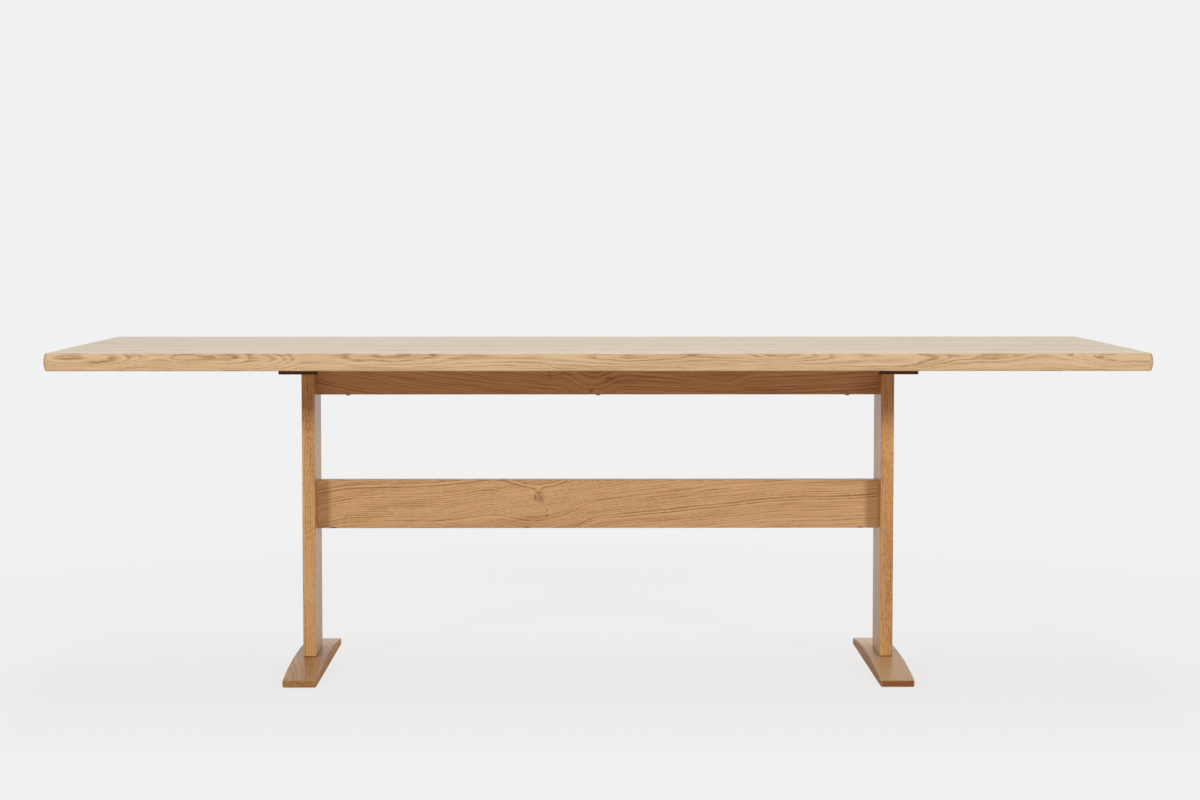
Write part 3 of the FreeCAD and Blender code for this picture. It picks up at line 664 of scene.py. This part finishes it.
def buildFittings():
    # every fitting goes where the boards that it joins meet
    blackZinc = metal("black_passivated_zinc", "#4B4037", "#352D27", 0.42, 1.2)   # brownish black, satin
    brightZinc = metal("bright_zinc_plate", "#B4B8BA", "#9DA1A4", 0.32, 1.5)      # bluish grey
    brass = metal("turned_brass", "#CDAA62", "#B8924C", 0.28, 2.0)                # warm and smooth
    nylon, beech = glideNylon(), dowelBeech()
    up, down, plated = (0, 0, 1), (0, 0, -1), "zinc_plated_steel"
    railLow, railHigh = cornersOf("upper_rail")
    legLow, legHigh = cornersOf("right_leg")
    footLow, footHigh = cornersOf("right_foot")
    bearerLow = cornersOf("right_bearer")[0]
    stretcherLow, stretcherHigh = cornersOf("stretcher")
    legMiddle, underTop = (legLow[0] + legHigh[0]) / 2, railHigh[2]
    boltSeat = bearerLow[2] + fittings["counterbore"]
    boltHeight = stretcherLow[2] + fittings["stretcherBoltRise"]
    screwPlace = (bearerLow[0] + legLow[0]) / 2             # where the bearer lies on the rail only
    glideReach = footHigh[1] - fittings["glideFromEnd"]
    glides = [(x, y) for x in (-legMiddle, legMiddle) for y in (-glideReach, glideReach)]

    turnedPiece("rail_bolts", [(buttonBolt(underTop - railLow[2]),
                                [((x, 0, railLow[2]), up) for x in fittings["railBolts"]])],
                blackZinc)
    turnedPiece("rail_inserts", [(threadedInsert(fittings["insertLength"]),
                                  [((x, 0, underTop), up) for x in fittings["railBolts"]])],
                brass, closed=True)
    turnedPiece("bearer_inserts", [(threadedInsert(fittings["insertLength"]),
                                    [((x, y, underTop), up) for x in (-legMiddle, legMiddle)
                                     for y in fittings["bearerBolts"]])],
                brass, closed=True)
    for side, sign in (("left", -1), ("right", 1)):
        x = sign * legMiddle
        turnedPiece(side + "_bearer_bolts", [(buttonBolt(underTop - boltSeat),
                                              [((x, y, boltSeat), up) for y in fittings["bearerBolts"]])],
                    blackZinc)
        turnedPiece(side + "_bearer_screws",
                    [(woodScrew(*fittings["longScrew"]),
                      [((x, y, underTop), down) for y in fittings["legScrews"]]),
                     (woodScrew(*fittings["railScrew"]), [((sign * screwPlace, 0, underTop), down)])],
                    brightZinc)
        turnedPiece(side + "_foot_screws", [(woodScrew(*fittings["longScrew"]),
                                             [((x, y, footLow[2]), up) for y in fittings["footScrews"]])],
                    brightZinc)
        turnedPiece(side + "_stretcher_bolt", [(flatBolt(fittings["stretcherBoltLength"]),
                                                [((sign * legHigh[0], 0, boltHeight), (-sign, 0, 0))])],
                    blackZinc)
        dress(side + "_barrel_nut", brightZinc)
    turnedPiece("glide_screws", [(woodScrew(*fittings["glideScrew"]),
                                  [((x, y, fittings["glideScrewDepth"]), up) for x, y in glides])],
                brightZinc)
    turnedPiece("foot_glides", [(glideDisc(), [((x, y, 0), up) for x, y in glides])], nylon,
                sides=fittings["glideSides"], closed=True)
    dowels = {
        "stretcher_dowels": [(0, stretcherLow[2] + fittings["dowelMargin"]),
                             (0, stretcherHigh[2] - fittings["dowelMargin"])],
        "rail_dowels": [(y, (railLow[2] + bearerLow[2]) / 2) for y in fittings["railDowels"]],
    }
    for nodeName, spots in dowels.items():
        places = [((sign * legLow[0], y, z), (-sign, 0, 0)) for sign in (-1, 1) for y, z in spots]
        turnedPiece(nodeName, [(flutedDowel(fittings["dowelInLeg"], fittings["dowelInRail"]), places)],
                    beech, sides=2 * fittings["fluteCount"], lobes=fittings["fluteCount"])


buildFittings()
print("stage 3: screws, bolts, inserts, dowels and glides")


# floor, light and camera; lengths in metres, powers in watts
studio = {
    "paper": "#F1F1F1",          # floor and backdrop alike
    "floorShadow": 0.12,         # share of the floor that takes shadow; the rest shows the paper's colour
    "shadowReach": (1.5, 3.0),   # from the table's middle, where the shadow starts to fade and is gone
    "floorSize": 60.0,
    "floorDrop": 0.0003,         # keeps the floor clear of the glides' running faces
    "mirroredFloor": 0.15,       # how bright glossy surfaces see the floor in front of the table,
    "mirroredFrom": (0.3, 3.0),  # and where behind its middle that rises to white
    "mirroredRoom": 0.4,         # how bright they see the room in front of it,
    "mirroredTurn": (-0.1, 0.4),      # and at which Y of the direction that rises to white
    "ambient": 0.18,
    "ambientTint": "#FFF0E2",
    "bounce": "#D2B89E",         # what the floor sends back on to the table, a little warm
    "boxPower": 80.0,
    "boxSize": (0.85, 0.72),
    "boxTurn": 34.5,             # degrees to either side of the front
    "boxDistance": 4.87,
    "boxHeight": 2.05,
    "aimHeight": 0.5,
    "backPlace": (0, 3.2, 6.0),
    "backPower": 120.0,
    "backSize": (2.6, 1.6),
    "overheadPlace": (0, 0.001, 8.0),
    "overheadPower": 100.0,
    "overheadSize": (2.4, 2.4),
}


def seenDirectly(tree):
    # 1 for rays from the camera, off glossy surfaces and through glass, 0 for the light that they carry
    rays = addNode(tree, "LightPath")
    both = addNode(tree, "Math", {0: rays["Is Camera Ray"], 1: rays["Is Glossy Ray"]},
                   operation="ADD")[0]
    return addNode(tree, "Math", {0: both, 1: rays["Is Transmission Ray"]}, operation="ADD",
                   use_clamp=True)[0]


def buildFloor():
    # a flat square of seamless paper; it is pale all over and keeps a faint shadow
    half, low = studio["floorSize"] / 2, -studio["floorDrop"]
    mesh = bpy.data.meshes.new("paper_floor")
    corners = [(-half, -half, low), (half, -half, low), (half, half, low), (-half, half, low)]
    mesh.from_pydata(corners, [], [(0, 1, 2, 3)])
    floor = bpy.data.objects.new("paper_floor", mesh)
    scene.collection.objects.link(floor)
    material, tree = newMaterial("matt_studio_paper")
    place = addNode(tree, "TexCoord")["Object"]
    seen = seenDirectly(tree)
    tone = addNode(tree, "Mix", {0: seen, 6: linear(studio["bounce"]), 7: (1, 1, 1, 1)},
                   data_type="RGBA")[2]
    paper = addNode(tree, "BsdfDiffuse", {"Color": tone})[0]
    glow = addNode(tree, "Emission", {"Color": linear(studio["paper"]), "Strength": 1.0})[0]
    distance = addNode(tree, "VectorMath", {0: place}, operation="LENGTH")[1]
    near, far = studio["shadowReach"]
    even = addNode(tree, "MapRange", {0: distance, 1: near, 2: far, 3: 1 - studio["floorShadow"], 4: 1.0},
                   interpolation_type="SMOOTHSTEP")[0]
    back = addNode(tree, "SeparateXYZ", {0: place})[1]
    near, far = studio["mirroredFrom"]
    mirrored = addNode(tree, "MapRange", {0: back, 1: near, 2: far, 3: studio["mirroredFloor"], 4: 1.0},
                       interpolation_type="SMOOTHSTEP")[0]
    glossy = addNode(tree, "LightPath")["Is Glossy Ray"]
    plain = addNode(tree, "Mix", {0: glossy, 2: even, 3: mirrored})[0]
    share = addNode(tree, "Math", {0: seen, 1: plain}, operation="MULTIPLY")[0]
    mixed = addNode(tree, "MixShader", {0: share, 1: paper, 2: glow})[0]
    addNode(tree, "OutputMaterial", {"Surface": mixed})
    mesh.materials.append(material)


def buildWorld():
    # a soft warm fill; the camera and glossy surfaces see the backdrop's paper instead
    world = bpy.data.worlds.new("studio")
    scene.world = world
    world.use_nodes = True
    tree = world.node_tree
    tree.nodes.clear()
    fill = addNode(tree, "Background", {"Color": linear(studio["ambientTint"]),
                                        "Strength": studio["ambient"]})[0]
    behind = addNode(tree, "SeparateXYZ", {0: addNode(tree, "TexCoord")["Generated"]})[1]
    start, end = studio["mirroredTurn"]
    mirrored = addNode(tree, "MapRange", {0: behind, 1: start, 2: end, 3: studio["mirroredRoom"], 4: 1.0},
                       interpolation_type="SMOOTHSTEP")[0]
    glossy = addNode(tree, "LightPath")["Is Glossy Ray"]
    strength = addNode(tree, "Mix", {0: glossy, 2: 1.0, 3: mirrored})[0]
    back = addNode(tree, "Background", {"Color": linear(studio["paper"]), "Strength": strength})[0]
    mixed = addNode(tree, "MixShader", {0: seenDirectly(tree), 1: fill, 2: back})[0]
    addNode(tree, "OutputWorld", {"Surface": mixed})


def buildLamp(name, place, aim, size, power, mirrored=True):
    # a rectangular lamp that looks from its place at its aim
    lamp = bpy.data.lights.new(name, "AREA")
    lamp.shape = "RECTANGLE"
    lamp.size, lamp.size_y = size
    lamp.energy = power
    holder = bpy.data.objects.new(name, lamp)
    scene.collection.objects.link(holder)
    holder.location = place
    way = np.array(aim) - np.array(place)
    flat = math.hypot(way[0], way[1])
    holder.rotation_euler = (math.atan2(flat, -way[2]), 0.0, math.atan2(-way[0], way[1]))
    holder.visible_glossy = mirrored


def buildLights():
    turn, distance = math.radians(studio["boxTurn"]), studio["boxDistance"]
    aim = (0, 0, studio["aimHeight"])
    for name, side in (("softbox_left", -1), ("softbox_right", 1)):
        place = (side * distance * math.sin(turn), -distance * math.cos(turn), studio["boxHeight"])
        buildLamp(name, place, aim, studio["boxSize"], studio["boxPower"],
                  mirrored=False)      # polarised light, so that the top shows no glare from behind
    buildLamp("back_fill", studio["backPlace"], aim, studio["backSize"], studio["backPower"])
    buildLamp("overhead", studio["overheadPlace"], (0, 0, 0), studio["overheadSize"],
              studio["overheadPower"])


view = {
    "place": (-0.03558, -6.17906, 1.02167),     # a little above the top's height, far in front of it
    "turn": 0.00656,             # radians to the right
    "dip": 0.06413,              # radians down
    "sensor": 36.0,              # mm wide
    "lens": 79.619,              # mm
    "reach": 200.0,              # metres
}


def buildCamera():
    lens = bpy.data.cameras.new("camera")
    lens.sensor_fit = "HORIZONTAL"
    lens.sensor_width = view["sensor"]
    lens.lens = view["lens"]
    lens.clip_end = view["reach"]
    camera = bpy.data.objects.new("camera", lens)
    scene.collection.objects.link(camera)
    camera.location = view["place"]
    camera.rotation_euler = (math.pi / 2 - view["dip"], 0.0, -view["turn"])
    scene.camera = camera


buildFloor()
buildWorld()
buildLights()
buildCamera()
scene.view_settings.view_transform = "Standard"
print("stage 4: floor, light and camera")
